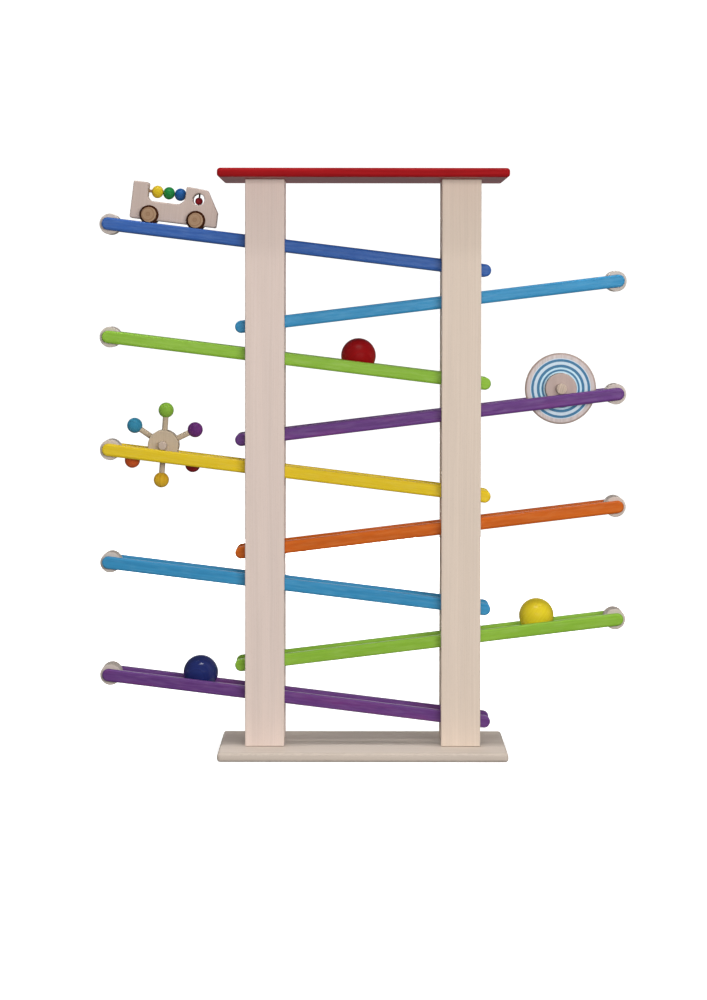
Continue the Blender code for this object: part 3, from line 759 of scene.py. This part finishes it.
def build_truck():
    place = truck_place()
    outline = fillet([(u * MM, v * MM, radius * MM) for u, v, radius in TRUCK_OUTLINE], steps=8)
    window = circle((WINDOW_U, WINDOW_V), WINDOW_RADIUS)
    block = plate([outline, window], TRUCK_WIDTH, TRUCK_ROUNDING, 4)
    body = drill(block, truck_bores(place.inverted()))
    body_looks = {"grain_axis": "Z", "narrow": TRUCK_EDGE_AREA}
    add_piece("truck_body_block", body, place, TRUCK_WOOD, "truck_body", **body_looks)
    along = place.to_3x3() @ WORLD_X
    up = place.to_3x3() @ WORLD_Z
    rod = dowel(BEAD_ROD_RADIUS, size_of("bead_rod").x / math.cos(SLOPE), 0.3 * MM, steps=32)
    add_piece("bead_rod_dowel", rod, axes_at(middle("bead_rod"), along, up), ROD_SHADE_WOOD, "bead_rod")
    pin = dowel(PIN_RADIUS, size_of("driver_pin").z / math.cos(SLOPE), 0.2 * MM, steps=24)
    add_piece("driver_pin_wire", pin, axes_at(middle("driver_pin"), up, along), WIRE, "driver_pin")
    for colour in ("yellow", "green", "blue"):
        bead = ball(BEAD_RADIUS, BEAD_ROD_RADIUS + BORE_GAP, 40)
        bmesh.ops.scale(bead, verts=bead.verts, vec=(BEAD_LENGTH / 2 / BEAD_RADIUS, 1, 1))
        node = f"bead_{colour}"
        add_piece(f"{node}_turned", bead, axes_at(middle(node), along, up), BALL_PAINTS[node], node)
    driver = ball(DRIVER_RADIUS, PIN_RADIUS + BORE_GAP, 32)
    driver_place = axes_at(middle("driver_head"), up, along)
    add_piece("driver_head_turned", driver, driver_place, BALL_PAINTS["driver"], "driver_head")
    for end in ("rear", "front"):
        build_wheels(end)


def build_wheels(end):
    axle = f"truck_{end}_axle"
    shape = dowel(WHEEL_AXLE_RADIUS, size_of(axle).y, 0.3 * MM, steps=32)
    add_piece(f"{axle}_dowel", shape, axes_at(middle(axle), TO_FRONT), TURNED, axle)
    for side, outward in (("near", TO_FRONT), ("far", WORLD_Y)):
        node = f"truck_{end}_wheel_{side}"
        low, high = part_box(node)
        width = high.y - low.y
        outer_face = middle(node) + outward * width / 2
        tread_width = width - FLANGE_THICKNESS
        tread_place = axes_at(outer_face - outward * tread_width / 2, outward)
        tread = dowel(TREAD_RADIUS, tread_width - 0.02 * MM, WHEEL_ROUNDING, 0.3 * MM)
        mark_turned(add_piece(f"{node}_tread", tread, tread_place, SLICE, node))
        flange_place = axes_at(outer_face - outward * (tread_width + FLANGE_THICKNESS / 2), outward)
        bore = WHEEL_AXLE_RADIUS + BORE_GAP
        flange = ring(FLANGE_RADIUS, bore, FLANGE_THICKNESS, 0.6 * MM, 64)
        add_piece(f"{node}_flange", flange, flange_place, FLANGE_DARK_WOOD, node, grain_axis="Z")


# ---- Stage, light and camera ----

FLOOR_REACH = 12
FLOOR_GAP = 0.2 * MM  # below the base board
LAMP_TARGET = Vector((0, 0, 0.42))
CAMERA_PLACE = Vector((-0.0135, -4.6, 0.642))
CAMERA_TILT = math.radians(88)  # from straight down
CAMERA_ROLL = math.radians(0.07)
CAMERA_LENS = 115.3
CAMERA_SENSOR = 36
CAMERA_SHIFT = -0.0829
FLOOR_GLOW = (0.7, 1.05)  # under the object, and far from it
FLOOR_GLOW_REACH = (0.5, 1.6)  # where the first ends and the second begins
SKY_LIGHT = 0.04  # straight above
BOUNCE_LIGHT = (0.36, 0.10)  # straight below, and near the horizon
BACKDROP_LIGHT = (0.10, 1.4)  # in gloss: beside the backdrop, and on it
BACKDROP_BELOW = 0.36  # share of it left under the horizon
CAMERA_WHITE = (1.1, 1.1, 1.1, 1)
LAMPS = (  # name, place, width and height in metres, power in watts, colour, and whether gloss shows it
    ("overhead_strip", (0.0, -0.435, 3.6), (6.0, 0.16), 92, (0.99, 1.0, 1.0), False),
    ("front_softbox", (0.66, -3.0, 0.8), (2.6, 0.88), 78, (1.0, 0.985, 0.96), False),
    ("front_high", (0.1, -1.65, 3.3), (1.3, 0.3), 13, (1.0, 1.0, 1.0), True),
    ("left_fill", (-4.0, 0.3, 0.6), (1.6, 1.2), 20, (1.0, 1.0, 1.0), False),
    ("right_fill", (4.0, 0.3, 0.6), (1.6, 1.2), 26, (1.0, 1.0, 1.0), False),
    ("rear_softbox", (-0.6, 4.1, 0.6), (3.2, 1.2), 120, (1.0, 0.99, 0.98), False),
)


def build_floor():
    """A pale floor that takes the object's shadow. It lights nothing: the world stands in for it."""
    mesh = bpy.data.meshes.new("floor")
    shape = bmesh.new()
    bmesh.ops.create_grid(shape, x_segments=1, y_segments=1, size=FLOOR_REACH)
    shape.to_mesh(mesh)
    shape.free()
    floor = bpy.data.objects.new("floor", mesh)
    bpy.context.scene.collection.objects.link(floor)
    floor.location.z = -FLOOR_GAP
    floor.visible_diffuse = False
    floor.visible_glossy = False
    floor.visible_shadow = False
    graph = Graph(bpy.data.materials.new("pale_floor"))
    place = graph.node("NewGeometry", {}).outputs["Position"]
    from_object = graph.vector("LENGTH", place, output="Value")
    mottle = graph.noise(place, 3, 2)
    graph.set(
        Base_Color=graph.mix(mottle, (0.8, 0.8, 0.8, 1), (0.84, 0.84, 0.84, 1)),
        Roughness=1.0,
        Specular_IOR_Level=0.0,
        Emission_Color=(1, 1, 1, 1),
        Emission_Strength=graph.spread(from_object, *FLOOR_GLOW_REACH, *FLOOR_GLOW),
    )
    mesh.materials.append(graph.owner)


def build_world():
    """Dim light from all round, and a white backdrop that only gloss and the camera see."""
    world = bpy.data.worlds.new("studio")
    bpy.context.scene.world = world
    graph = Graph(world)
    way = graph.node("SeparateXYZ", {0: graph.node("TexCoord", {}).outputs["Generated"]}).outputs
    rays = graph.node("LightPath", {}).outputs
    from_above = graph.spread(way["Z"], 0.1, 1, 0, SKY_LIGHT)
    from_below = graph.spread(way["Z"], -1, -0.1, *BOUNCE_LIGHT)
    backdrop = graph.spread(way["Y"], 0.88, 0.96, *BACKDROP_LIGHT)
    backdrop = graph.math("MULTIPLY", backdrop, graph.spread(way["Z"], -0.05, 0.03, BACKDROP_BELOW, 1.0))
    shade = graph.mix(rays["Is Glossy Ray"], graph.math("ADD", from_above, from_below), backdrop)
    shade = graph.mix(rays["Is Camera Ray"], shade, CAMERA_WHITE)
    graph.feed(world.node_tree.nodes["Background"].inputs["Color"], shade)


def build_lamps():
    for name, place, (width, height), power, colour, glossy in LAMPS:
        lamp = bpy.data.lights.new(name, "AREA")
        lamp.shape = "RECTANGLE"
        lamp.size = width
        lamp.size_y = height
        lamp.energy = power
        lamp.color = colour
        holder = bpy.data.objects.new(name, lamp)
        holder.location = place
        holder.rotation_euler = (LAMP_TARGET - holder.location).to_track_quat("-Z", "Y").to_euler()
        holder.visible_camera = False
        holder.visible_glossy = glossy
        bpy.context.scene.collection.objects.link(holder)


def build_camera():
    camera = bpy.data.cameras.new("camera")
    camera.lens = CAMERA_LENS
    camera.sensor_width = CAMERA_SENSOR
    camera.shift_y = CAMERA_SHIFT
    holder = bpy.data.objects.new("camera", camera)
    aim = Matrix.Rotation(CAMERA_TILT, 4, "X") @ Matrix.Rotation(CAMERA_ROLL, 4, "Z")
    holder.matrix_world = Matrix.Translation(CAMERA_PLACE) @ aim
    bpy.context.scene.collection.objects.link(holder)
    bpy.context.scene.camera = holder
    bpy.context.scene.view_settings.view_transform = "Standard"


build_camera()
build_boards()
build_posts()
for track_number in range(1, 10):
    build_track(track_number)
build_balls()
build_disc()
build_spinner()
build_truck()
build_floor()
build_world()
build_lamps()
